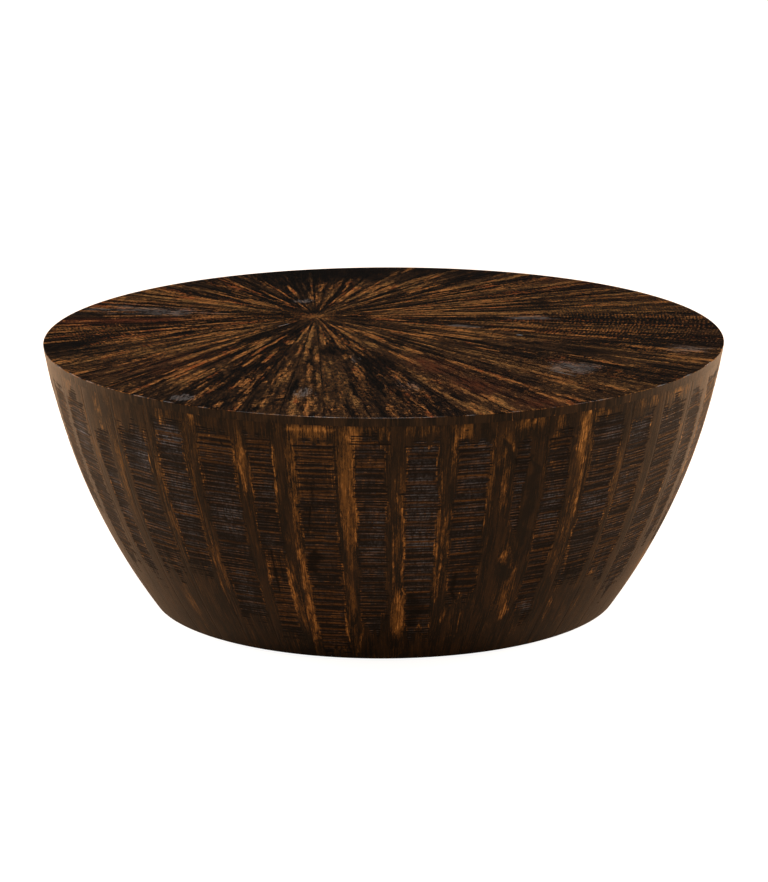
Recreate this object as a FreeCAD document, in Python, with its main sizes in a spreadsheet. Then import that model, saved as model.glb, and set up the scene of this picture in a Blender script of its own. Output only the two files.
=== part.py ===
import FreeCAD, Part
import math
import os
import Sketcher

# Round coffee table built like a drum: curved staves on a plywood deck, rings and ribs, with a
# sunburst top of wedge slats. Millimetres, +Z up, origin on the floor at the middle of the base.
# The side that the photograph shows faces -Y.

Vector = FreeCAD.Vector
doc = FreeCAD.newDocument("drum_table")
sizes = doc.addObject("Spreadsheet::Sheet", "Sizes")

SIZES = [
    # Drum
    ("table_height", 400),
    ("rim_radius", 510),
    ("foot_radius", 352),
    ("side_arc_radius", 955),
    # Staves
    ("stave_count", 42),
    ("stave_thickness", 22),
    ("facet_depth", 1.2),
    ("first_stave_angle", -93.2),
    # Sunburst slats
    ("slat_count", 64),
    ("slats_per_sector", 8),
    ("slat_thickness", 13),
    ("focus_x", -104),
    ("focus_y", 140),
    ("first_joint_turn", 2),
    # Deck and rings
    ("deck_thickness", 18),
    ("ring_thickness", 18),
    ("ring_width", 75),
    ("middle_ring_level", 190),
    # Ribs
    ("rib_count", 4),
    ("rib_thickness", 18),
    ("rib_width", 60),
    ("first_rib_angle", 45),
    ("tab_edge", 22),
    ("tab_length", 28),
    # Floor glides
    ("glide_count", 4),
    ("glide_height", 4),
    ("glide_radius", 12),
    ("first_glide_angle", 0),
    # Clearances and the overrun of every cut
    ("glue_line", 0.2),
    ("joint_fit", 0.3),
    ("overrun", 20),
]
for row, (alias, number) in enumerate(SIZES, 1):
    sizes.set(f"A{row}", alias)
    sizes.set(f"B{row}", str(number))
    sizes.setAlias(f"B{row}", alias)
doc.recompute()


def size(alias):
    """A size of the sheet, as a number."""
    return sizes.get(alias)


def amount(expression):
    """What an expression comes to now, as a number."""
    result = sizes.evalExpression(expression)
    return getattr(result, "Value", result)


# The sheet holds plain numbers. This gives them their unit in an expression.
MM = "1 mm"


def length(terms):
    """An expression for a length made of sizes of the sheet."""
    return f"({terms}) * {MM}"


# Levels and insets that several pieces share.
foot_level = "Sizes.glide_height"
slat_level = "Sizes.table_height - Sizes.slat_thickness"
deck_level = f"{slat_level} - Sizes.deck_thickness"
rib_level = f"{foot_level} + Sizes.ring_thickness"
middle_ring_level = "Sizes.middle_ring_level"
middle_ring_top = f"{middle_ring_level} + Sizes.ring_thickness"
stave_back = "Sizes.facet_depth + Sizes.stave_thickness"
frame_inset = f"{stave_back} + Sizes.glue_line"


# Drum curve: one arc from the foot up to the rim, which every piece at the wall follows
side_curve = doc.addObject("Sketcher::SketchObject", "side_curve")
side_curve.Placement = FreeCAD.Placement(Vector(), FreeCAD.Rotation(Vector(1, 0, 0), 90))


def draw_side_curve():
    """Draws the arc through the foot and the rim and gives its centre as two measured values."""
    foot = Vector(size("foot_radius"), size("glide_height"))
    rim = Vector(size("rim_radius"), size("table_height"))
    radius = size("side_arc_radius")
    chord = rim - foot
    apothem = math.sqrt(radius ** 2 - (chord.Length / 2) ** 2)
    centre = (foot + rim) / 2 + Vector(-chord.y, chord.x) * (apothem / chord.Length)
    start = math.atan2(foot.y - centre.y, foot.x - centre.x)
    end = math.atan2(rim.y - centre.y, rim.x - centre.x)
    arc = Part.ArcOfCircle(Part.Circle(centre, Vector(0, 0, 1), radius), start, end)
    side_curve.addGeometry(arc, False)
    drive(side_curve, "DistanceX", (-1, 1, 0, 1), "Sizes.foot_radius")
    drive(side_curve, "DistanceY", (-1, 1, 0, 1), foot_level)
    drive(side_curve, "DistanceX", (-1, 1, 0, 2), "Sizes.rim_radius")
    drive(side_curve, "DistanceY", (-1, 1, 0, 2), "Sizes.table_height")
    drive(side_curve, "Radius", (0,), "Sizes.side_arc_radius")
    for kind, name, value in (("DistanceX", "centre_x", centre.x), ("DistanceY", "centre_z", centre.y)):
        index = side_curve.addConstraint(Sketcher.Constraint(kind, -1, 1, 0, 3, value))
        side_curve.setDriving(index, False)
        side_curve.renameConstraint(index, name)
    doc.recompute()


def drive(sketch, kind, places, expression):
    """Adds a constraint that an expression drives."""
    index = sketch.addConstraint(Sketcher.Constraint(kind, *places, amount(expression)))
    sketch.setExpression(f"Constraints[{index}]", expression)


draw_side_curve()
centre_x = "side_curve.Constraints.centre_x"
centre_z = "side_curve.Constraints.centre_z"


def radius_at(level, inset):
    """Distance from the axis to the drum curve, moved in by the inset, at a level."""
    reach = length(f"Sizes.side_arc_radius - ({inset})")
    rise = f"({length(level)} - {centre_z})"
    return f"({centre_x} + sqrt(({reach})^2 - {rise}^2))"


# Sketch and feature helpers
def origin_plane(body, role):
    """One of the body's own origin planes or axes, found by its role."""
    return next(item for item in body.Origin.OriginFeatures if item.Role == role)


def new_body(label):
    body = doc.addObject("PartDesign::Body", label)
    body.Label = label
    return body


def new_sketch(body, name, plane="XZ_Plane"):
    sketch = body.newObject("Sketcher::SketchObject", name)
    sketch.AttachmentSupport = [(origin_plane(body, plane), "")]
    sketch.MapMode = "FlatFace"
    return sketch


def pin_point(sketch, edge, point, x, y):
    """Places one point of an edge by two expressions. None leaves that way free."""
    for kind, expression in (("DistanceX", x), ("DistanceY", y)):
        if expression is not None:
            drive(sketch, kind, (-1, 1, edge, point), expression)


def curve_arc(sketch, low, high, inset):
    """Adds an arc of the drum curve, moved in by the inset, between two levels."""
    centre = Vector(amount(centre_x), amount(centre_z))
    radius = amount(f"Sizes.side_arc_radius - ({inset})")
    start = math.asin((amount(low) - centre.y) / radius)
    end = math.asin((amount(high) - centre.y) / radius)
    arc = Part.ArcOfCircle(Part.Circle(centre, Vector(0, 0, 1), radius), start, end)
    edge = sketch.addGeometry(arc, False)
    pin_point(sketch, edge, 3, centre_x, centre_z)
    drive(sketch, "Radius", (edge,), f"Sizes.side_arc_radius - ({inset})")
    pin_point(sketch, edge, 1, None, low)
    pin_point(sketch, edge, 2, None, high)
    return edge


def line_between(sketch, first, second):
    """Joins two points of the sketch, each given as an edge and its point, with a line."""
    start = sketch.getPoint(*first)
    end = sketch.getPoint(*second)
    edge = sketch.addGeometry(Part.LineSegment(start, end), False)
    sketch.addConstraint(Sketcher.Constraint("Coincident", edge, 1, *first))
    sketch.addConstraint(Sketcher.Constraint("Coincident", edge, 2, *second))
    return edge


def band_sketch(body, name, low, high, inset, back_inset):
    """A section between two levels, bounded by the drum curve moved in by two insets."""
    sketch = new_sketch(body, name)
    front = curve_arc(sketch, low, high, inset)
    back = curve_arc(sketch, low, high, back_inset)
    line_between(sketch, (front, 1), (back, 1))
    line_between(sketch, (front, 2), (back, 2))
    return sketch


def polygon_sketch(body, name, points, plane="XZ_Plane"):
    """A closed outline through points, each given as two expressions."""
    sketch = new_sketch(body, name, plane)
    corners = [Vector(amount(x), amount(y)) for x, y in points]
    for index, corner in enumerate(corners):
        following = corners[(index + 1) % len(corners)]
        sketch.addGeometry(Part.LineSegment(corner, following), False)
    for index, (x, y) in enumerate(points):
        before = (index - 1) % len(points)
        sketch.addConstraint(Sketcher.Constraint("Coincident", before, 2, index, 1))
        pin_point(sketch, index, 1, x, y)
    return sketch


def rectangle_sketch(body, name, left, low, right, high, plane="XZ_Plane"):
    """An upright rectangle between two distances and two levels."""
    return polygon_sketch(body, name, [(left, low), (right, low), (right, high), (left, high)], plane)


def pocket_through(body, name, sketch):
    """Cuts a sketch right through a piece, both ways."""
    pocket = body.newObject("PartDesign::Pocket", name)
    pocket.Profile = sketch
    pocket.Midplane = True
    pocket.setExpression("Length", "2 * Sizes.table_height")
    doc.recompute()
    return pocket


def closing_edge(sketch):
    """The last edge of an outline, which lies on its own axis in turned parts."""
    return f"Edge{sketch.GeometryCount}"


def spin(body, kind, name, sketch, axis="V_Axis"):
    """A full turn of a sketch about one of its axes."""
    feature = body.newObject(kind, name)
    feature.Profile = sketch
    feature.ReferenceAxis = (sketch, [axis])
    feature.Angle = 360
    return feature


def around(body, name, features, count):
    """Repeats features evenly round the table's axis."""
    pattern = body.newObject("PartDesign::PolarPattern", name)
    pattern.Originals = features
    pattern.Axis = (origin_plane(body, "Z_Axis"), [""])
    pattern.Angle = 360
    pattern.setExpression("Occurrences", count)
    body.Tip = pattern
    return pattern


def turn(piece, expression):
    """Turns a piece about the table's axis."""
    piece.setExpression("Placement.Rotation.Angle", expression)


def copy_body(label, original):
    """A repeated piece, made as a clone of the first."""
    body = new_body(label)
    clone = body.newObject("PartDesign::FeatureBase", f"{label}_clone")
    clone.BaseFeature = original
    body.Tip = clone
    return body


pieces = []


# Staves
def make_staves():
    """Boards sawn to the drum curve, flat across, with both edges mitred to their neighbours."""
    stave = new_body("stave_01")
    half_pitch = "tan(180 / Sizes.stave_count)"
    board = stave.newObject("PartDesign::Pad", "board")
    board.Profile = band_sketch(stave, "board_section", foot_level, slat_level,
                                "Sizes.facet_depth", stave_back)
    board.Midplane = True
    board.setExpression("Length", f"2 * Sizes.rim_radius * {half_pitch} + Sizes.overrun")

    far = "2 * Sizes.rim_radius"
    side = f"{far} * {half_pitch}"
    waste = polygon_sketch(stave, "mitre_waste", [("0", "0"), (far, side), ("0", side)], "XY_Plane")
    mitre = pocket_through(stave, "mitre", waste)
    both = stave.newObject("PartDesign::Mirrored", "both_mitres")
    both.Originals = [mitre]
    both.MirrorPlane = (origin_plane(stave, "XZ_Plane"), [""])
    stave.Tip = both
    turn(stave, "Sizes.first_stave_angle")
    pieces.append(stave)

    for number in range(1, size("stave_count")):
        stave_copy = copy_body(f"stave_{number + 1:02d}", stave)
        turn(stave_copy, f"Sizes.first_stave_angle + {number} * 360 / Sizes.stave_count")
        pieces.append(stave_copy)


# Sunburst top
def make_sunburst():
    """Wedge slats that run from one point, beside the table's middle, out to the rim."""
    blank = new_body("sunburst_blank")
    top = "Sizes.table_height"
    section = polygon_sketch(blank, "sunburst_section", [
        ("0", slat_level), (radius_at(slat_level, "0"), slat_level),
        ("Sizes.rim_radius", top), ("0", top),
    ])
    spin(blank, "PartDesign::Revolution", "disc", section)
    doc.recompute()

    half_width = "Sizes.rim_radius * 2 * tan(180 / Sizes.slat_count)"
    slats = []
    for number in range(size("slat_count")):
        wedge = doc.addObject("Part::Wedge", f"wedge_{number + 1:02d}")
        wedge.setExpression("Xmin", f"-{half_width}")
        wedge.setExpression("Xmax", half_width)
        wedge.X2min = wedge.X2max = 0
        wedge.setExpression("Ymin", "-2 * Sizes.rim_radius")
        wedge.Ymax = 0
        wedge.Zmin = wedge.Z2min = 0
        wedge.setExpression("Zmax", "Sizes.slat_thickness + Sizes.overrun")
        wedge.setExpression("Z2max", "Sizes.slat_thickness + Sizes.overrun")
        wedge.setExpression("Placement.Base.x", "Sizes.focus_x")
        wedge.setExpression("Placement.Base.y", "Sizes.focus_y")
        wedge.setExpression("Placement.Base.z", slat_level)
        turn(wedge, f"Sizes.first_joint_turn + ({number} + 1 / 2) * 360 / Sizes.slat_count")
        slat = doc.addObject("Part::Common", f"slat_{number + 1:02d}")
        slat.Base = blank
        slat.Tool = wedge
        slats.append(slat)

    group = size("slats_per_sector")
    for number, first in enumerate(range(0, len(slats), group), 1):
        sector = doc.addObject("Part::Compound", f"sunburst_sector_{number}")
        sector.Label = f"sunburst_sector_{number}"
        sector.Links = slats[first:first + group]
        pieces.append(sector)


# Tabs at the rib ends and the slots that take them
def tab_reach(level, slack="0"):
    """The inner and the outer end of a rib's tab, measured in from the wall at the rib's end."""
    wall = radius_at(level, frame_inset)
    outer = f"{wall} - {length(f'Sizes.tab_edge - {slack}')}"
    inner = f"{wall} - {length(f'Sizes.tab_edge + Sizes.tab_length + {slack}')}"
    return inner, outer


def tab_slots(plate, rib_end):
    """Cuts the slots through a plate for the tabs of all the ribs."""
    inner, outer = tab_reach(rib_end, "Sizes.joint_fit")
    slot = rectangle_sketch(plate, "tab_slot", inner, f"-{half_rib_slot}", outer, half_rib_slot, "XY_Plane")
    around(plate, "tab_slots", [pocket_through(plate, "tab_cut", slot)], "Sizes.rib_count")


half_rib_slot = "(Sizes.rib_thickness / 2 + Sizes.joint_fit)"


# Deck and rings
def turned_plate(label, low, high, bore):
    """A flat plywood disc or ring with its edge bevelled to the inside of the staves."""
    body = new_body(label)
    section = polygon_sketch(body, f"{label}_section", [
        (bore, low), (radius_at(low, frame_inset), low),
        (radius_at(high, frame_inset), high), (bore, high),
    ])
    spin(body, "PartDesign::Revolution", f"{label}_plate", section)
    turn(body, "Sizes.first_rib_angle")
    doc.recompute()
    pieces.append(body)
    return body


def ring_bore(level):
    """Radius of a ring's opening, a ring's width in from the wall at the ring's lower face."""
    return f"{radius_at(level, frame_inset)} - {length('Sizes.ring_width')}"


def make_deck_and_rings():
    """A deck flush with the stave ends, and rings at half height and at the floor."""
    top_deck = turned_plate("top_deck", deck_level, slat_level, "0")
    tab_slots(top_deck, deck_level)

    middle_ring = turned_plate("middle_ring", middle_ring_level, middle_ring_top,
                               ring_bore(middle_ring_level))
    slot = rectangle_sketch(middle_ring, "lap_slot", "0", f"-{half_rib_slot}", lap_end, half_rib_slot,
                            "XY_Plane")
    around(middle_ring, "lap_slots", [pocket_through(middle_ring, "lap_cut", slot)], "Sizes.rib_count")

    base_ring = turned_plate("base_ring", foot_level, rib_level, ring_bore(foot_level))
    tab_slots(base_ring, rib_level)


lap_end = f"{radius_at(middle_ring_level, frame_inset)} - {length('Sizes.ring_width / 2')}"


# Ribs
def make_ribs():
    """Upright plates along the backs of the staves, tabbed at both ends and half lapped with a ring."""
    rib = new_body("rib_1")
    section = band_sketch(rib, "rib_section", rib_level, deck_level, frame_inset,
                          f"{frame_inset} + Sizes.rib_width")
    rib_pad(rib, "plate", section)
    notch = rectangle_sketch(rib, "lap_notch",
                             f"{lap_end} - {length('Sizes.joint_fit')}",
                             f"{middle_ring_level} - Sizes.joint_fit",
                             "Sizes.rim_radius", f"{middle_ring_top} + Sizes.joint_fit")
    pocket_through(rib, "lap_cut", notch)
    for end, rib_end, tab_end in (("top", deck_level, slat_level), ("base", rib_level, foot_level)):
        inner, outer = tab_reach(rib_end)
        rib_pad(rib, f"{end}_tab", rectangle_sketch(rib, f"{end}_tab_side", inner, rib_end, outer, tab_end))
    turn(rib, "Sizes.first_rib_angle")
    pieces.append(rib)
    for number in range(1, size("rib_count")):
        rib_copy = copy_body(f"rib_{number + 1}", rib)
        turn(rib_copy, f"Sizes.first_rib_angle + {number} * 360 / Sizes.rib_count")
        pieces.append(rib_copy)


def rib_pad(rib, name, sketch):
    """Gives a side view the thickness of a rib."""
    pad = rib.newObject("PartDesign::Pad", name)
    pad.Profile = sketch
    pad.Midplane = True
    pad.setExpression("Length", "Sizes.rib_thickness")
    doc.recompute()


# Floor glides
def make_glides():
    """Round nylon glides glued under the base ring, between the ribs."""
    glides = new_body("floor_glides")
    middle = f"{radius_at(foot_level, frame_inset)} - {length('Sizes.ring_width / 2')}"
    edge = f"{middle} + {length('Sizes.glide_radius')}"
    outline = rectangle_sketch(glides, "glide_outline", middle, "0", edge, foot_level)
    glide = spin(glides, "PartDesign::Revolution", "glide", outline, closing_edge(outline))
    around(glides, "glides_round", [glide], "Sizes.glide_count")
    turn(glides, "Sizes.first_glide_angle")
    pieces.append(glides)


make_staves()
make_sunburst()
make_deck_and_rings()
make_ribs()
make_glides()
doc.recompute()


# Checks and export
for item in doc.Objects:
    if "Invalid" in item.State or "Error" in item.State:
        raise RuntimeError(f"{item.Label} failed: {item.State}")
os.makedirs("parts", exist_ok=True)
for piece in pieces:
    if piece.Shape.isNull() or not piece.Shape.isValid():
        raise RuntimeError(f"{piece.Label} has no valid shape")
for piece in pieces:
    piece.Shape.exportStep(f"parts/{piece.Label}.step")
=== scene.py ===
import math

import bpy
import numpy as np
from mathutils import Matrix, Vector


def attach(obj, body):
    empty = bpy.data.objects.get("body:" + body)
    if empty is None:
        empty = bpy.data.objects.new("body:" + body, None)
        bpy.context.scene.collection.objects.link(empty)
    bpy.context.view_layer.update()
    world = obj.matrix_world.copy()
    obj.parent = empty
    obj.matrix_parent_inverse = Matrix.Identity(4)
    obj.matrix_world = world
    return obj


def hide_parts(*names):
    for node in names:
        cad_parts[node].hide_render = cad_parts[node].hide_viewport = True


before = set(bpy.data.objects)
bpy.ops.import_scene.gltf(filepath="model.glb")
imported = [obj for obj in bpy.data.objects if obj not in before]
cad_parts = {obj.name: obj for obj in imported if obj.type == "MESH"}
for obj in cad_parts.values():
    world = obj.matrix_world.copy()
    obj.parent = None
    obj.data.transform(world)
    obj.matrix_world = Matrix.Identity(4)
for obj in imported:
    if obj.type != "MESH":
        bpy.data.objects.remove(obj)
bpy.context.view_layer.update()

scene = bpy.context.scene
scene.view_settings.view_transform = "Standard"


# Camera
# It stands in front of the table, a little above it and far back, and looks down at the middle of
# the drum. The picture is turned a fifth of a degree, as a hand-levelled tripod leaves it.
PICTURE_HEIGHT = 882
FOCAL_PIXELS = 3700
SENSOR = 36.0
VIEW_DISTANCE = 5.61
VIEW_PITCH = math.radians(14.72)
DRUM_MIDDLE = Vector((0, 0, 0.2))
MIDDLE_BELOW_CENTRE = 23.5
PICTURE_TURN = math.radians(-0.244)

lens = bpy.data.cameras.new("camera")
lens.sensor_fit = "VERTICAL"
lens.sensor_height = SENSOR
lens.lens = SENSOR * FOCAL_PIXELS / PICTURE_HEIGHT
camera = bpy.data.objects.new("camera", lens)
scene.collection.objects.link(camera)
scene.camera = camera
camera_pitch = VIEW_PITCH - math.atan(MIDDLE_BELOW_CENTRE / FOCAL_PIXELS)
away = Vector((0, -math.cos(VIEW_PITCH), math.sin(VIEW_PITCH))) * VIEW_DISTANCE
tilt = Matrix.Rotation(math.pi / 2 - camera_pitch, 4, "X")
camera.matrix_world = Matrix.Translation(DRUM_MIDDLE + away) @ tilt @ Matrix.Rotation(PICTURE_TURN, 4, "Z")


# Studio floor and light
# A warm paper floor that the camera sees as white and that is clear from below, a large soft box
# above the front, one on each side behind a polarising sheet, and an even sky. The walls, which
# the lacquered top mirrors, are dark.
class Level:
    """An amount that changes over a surface. Sums with it add Math nodes to its finish."""

    def __init__(self, finish, socket):
        self.finish = finish
        self.socket = socket

    def maths(self, operation, *values):
        return self.finish.node("ShaderNodeMath", {"operation": operation}, dict(enumerate(values)))

    def __add__(self, other):
        return self.maths("ADD", self, other)

    __radd__ = __add__

    def __sub__(self, other):
        return self.maths("SUBTRACT", self, other)

    def __rsub__(self, other):
        return self.maths("SUBTRACT", other, self)

    def __mul__(self, other):
        return self.maths("MULTIPLY", self, other)

    __rmul__ = __mul__

    def __abs__(self):
        return self.maths("ABSOLUTE", self)

    def swing(self, amount):
        """How far it is above or below a half, times an amount."""
        return (self - 0.5) * amount

    def least(self, other):
        return self.maths("MINIMUM", self, other)

    def most(self, other):
        return self.maths("MAXIMUM", self, other)

    def between(self, low, high):
        """0 up to low, 1 from high on, and smooth from one to the other."""
        settings = {"interpolation_type": "SMOOTHSTEP"}
        return self.finish.node("ShaderNodeMapRange", settings, {0: self, 1: low, 2: high})

    def beside(self, output):
        """Another output of the node that gives it."""
        return Level(self.finish, self.socket.node.outputs[output])


class Finish:
    """The nodes of one finish."""

    def __init__(self, owner):
        self.owner = owner
        owner.use_nodes = True
        self.tree = owner.node_tree
        self.tree.nodes.clear()

    def node(self, kind, settings=None, inputs=None, output=0):
        """Adds a node with its settings and inputs and gives one of its outputs."""
        node = self.tree.nodes.new(kind)
        for name, value in (settings or {}).items():
            setattr(node, name, value)
        for name, value in (inputs or {}).items():
            if isinstance(value, Level):
                self.tree.links.new(value.socket, node.inputs[name])
            else:
                node.inputs[name].default_value = value
        return Level(self, node.outputs[output]) if node.outputs else None


def srgb(red, green, blue):
    """A colour as it is read off a screen, in the linear values that shaders take."""
    linear = [((c / 255 + 0.055) / 1.055) ** 2.4 if c > 10 else c / 255 / 12.92 for c in (red, green, blue)]
    return (*linear, 1.0)


FLOOR_SIZE = 60
FLOOR_TONE = (0.37, 0.235, 0.145, 1)
FLOOR_GLOW = 0.93

bpy.ops.object.select_all(action="DESELECT")
bpy.ops.mesh.primitive_plane_add(size=FLOOR_SIZE)
floor = bpy.context.object
floor.name = "floor"
paper = Finish(bpy.data.materials.new("floor_paper"))
paper_white = paper.node("ShaderNodeBsdfDiffuse", None, {"Color": FLOOR_TONE})
to_camera = paper.node("ShaderNodeLightPath")
glow = paper.node("ShaderNodeEmission", None, {"Strength": to_camera * FLOOR_GLOW})
lit_paper = paper.node("ShaderNodeAddShader", None, {0: paper_white, 1: glow})
from_below = paper.node("ShaderNodeNewGeometry", output="Backfacing")
clear = paper.node("ShaderNodeBsdfTransparent")
shown = paper.node("ShaderNodeMixShader", None, {0: from_below, 1: lit_paper, 2: clear})
paper.node("ShaderNodeOutputMaterial", None, {"Surface": shown})
floor.data.materials.append(paper.owner)

SKY_LIGHT = 0.62
SKY_MIRRORED = 0.01

scene.world = bpy.data.worlds.new("studio")
sky = Finish(scene.world)
to_camera = sky.node("ShaderNodeLightPath")
to_gloss = to_camera.beside("Is Glossy Ray")
sky_level = SKY_LIGHT + to_gloss * (SKY_MIRRORED - SKY_LIGHT)
sky_level = sky_level + to_camera * (1 - sky_level)
sky_white = sky.node("ShaderNodeBackground", None, {"Color": (1, 1, 1, 1), "Strength": sky_level})
sky.node("ShaderNodeOutputWorld", None, {"Surface": sky_white})


def soft_box(name, place, width, height, watts, mirrored=True):
    """A soft box that faces the table, in metres. Unmirrored, it has a polarising sheet against reflections."""
    light = bpy.data.lights.new(name, "AREA")
    light.shape = "RECTANGLE"
    light.size = width
    light.size_y = height
    light.energy = watts
    lamp = bpy.data.objects.new(name, light)
    scene.collection.objects.link(lamp)
    lamp.location = place
    lamp.rotation_euler = (DRUM_MIDDLE - Vector(place)).to_track_quat("-Z", "Y").to_euler()
    lamp.visible_glossy = mirrored


soft_box("soft_box_above", (-0.6, -1.2, 3.2), 2.4, 1.8, 52)
soft_box("soft_box_left", (-2.8, 1.3, 0.8), 1.6, 1.2, 175, False)
soft_box("soft_box_right", (2.8, 1.3, 0.8), 1.6, 1.2, 200, False)


# Staves
# 42 boards of a dark hardwood, sawn to the drum's curve and mitred together. Each keeps the marks
# of the band saw down its middle and is sanded round beside its joints, so the stain is worn to
# amber where the sanding ran out. Glued to the frame behind, stained nearly black and lacquered.
STAVE_COUNT = 42
STAVE_HALF = 180 / STAVE_COUNT
FIRST_STAVE = -93.2
STAVE_FOOT = 0.004
STAVE_TOP = 0.387
STAVE_DEPTH = 0.0232
SANDED_IN = 0.00025
DRUM_CURVE = 0.955
CURVE_CENTRE = (-0.433622, 0.546976)
STAVE_COLUMNS = 36
STAVE_ROWS = 272
SHARP_ANGLE = math.radians(40)
STAVE_SEED = 1000


def drum_radius(level, inset=0.0):
    """Distance from the axis to the drum's curve, in metres."""
    return CURVE_CENTRE[0] + np.sqrt((DRUM_CURVE - inset) ** 2 - (level - CURVE_CENTRE[1]) ** 2)


def positions(mesh):
    """The places of the vertices."""
    places = np.empty(len(mesh.vertices) * 3)
    mesh.vertices.foreach_get("co", places)
    return places.reshape(-1, 3)


def set_positions(mesh, places):
    """Moves the vertices to these places."""
    mesh.vertices.foreach_set("co", places.ravel())
    mesh.update()


def edge_ends(mesh):
    """The two vertices of each edge."""
    ends = np.empty(len(mesh.edges) * 2, int)
    mesh.edges.foreach_get("vertices", ends)
    return ends.reshape(-1, 2)


def select(mesh, vertices, edges):
    """Selects these vertices and edges, and no faces, in object mode."""
    mesh.vertices.foreach_set("select", vertices)
    mesh.polygons.foreach_set("select", np.zeros(len(mesh.polygons), bool))
    mesh.edges.foreach_set("select", edges)


def edit(*operators):
    """Runs edit-mode operators on the piece in hand, each given with its settings."""
    bpy.ops.object.mode_set(mode="EDIT")
    bpy.ops.mesh.select_mode(type="EDGE")
    for operator, settings in operators:
        operator(**settings)
    bpy.ops.object.mode_set(mode="OBJECT")


def new_grid(columns, rows):
    """Adds a flat grid, one metre square, as the piece in hand."""
    bpy.ops.object.select_all(action="DESELECT")
    bpy.ops.mesh.primitive_grid_add(x_subdivisions=columns, y_subdivisions=rows, size=1)
    return bpy.context.object


def close_up(*first_steps):
    """Takes some first steps, then fills what is open and turns the normals outward."""
    edit(*first_steps,
         (bpy.ops.mesh.fill_holes, {"sides": 0}),
         (bpy.ops.mesh.normals_make_consistent, {"inside": False}))


def plain_stave():
    """A board before it is carved, and how many of its points are on its gridded face."""
    board = new_grid(STAVE_COLUMNS, STAVE_ROWS)
    mesh = board.data
    flat = positions(mesh)
    turn = np.radians(flat[:, 0] * 2 * STAVE_HALF)
    level = STAVE_FOOT + (flat[:, 1] + 0.5) * (STAVE_TOP - STAVE_FOOT)
    reach = drum_radius(level, SANDED_IN)
    set_positions(mesh, np.column_stack([reach * np.cos(turn), reach * np.sin(turn), level]))

    face_count = len(mesh.vertices)
    rim = np.isclose(abs(flat[:, 0]), 0.5) | np.isclose(abs(flat[:, 1]), 0.5)
    sides = np.zeros(len(mesh.edges), bool)
    for axis in (0, 1):
        first, second = flat[edge_ends(mesh), axis].T
        sides |= np.isclose(abs(first), 0.5) & np.isclose(first, second)
    select(mesh, rim, sides)
    edit((bpy.ops.mesh.extrude_edges_move, {}))

    places = positions(mesh)
    turn = np.arctan2(places[:, 1], places[:, 0])
    back = np.arange(len(places)) >= face_count
    reach = drum_radius(places[:, 2], STAVE_DEPTH) / np.cos(turn)
    places[back, 0] = (reach * np.cos(turn))[back]
    places[back, 1] = (reach * np.sin(turn))[back]
    set_positions(mesh, places)
    at_joint = back & np.isclose(abs(np.degrees(turn)), STAVE_HALF, atol=1e-4)
    select(mesh, at_joint, at_joint[edge_ends(mesh)].all(1))
    close_up((bpy.ops.mesh.bridge_edge_loops, {}), (bpy.ops.mesh.select_all, {"action": "SELECT"}))
    bpy.ops.object.shade_smooth_by_angle(angle=SHARP_ANGLE)
    return board, face_count
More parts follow.
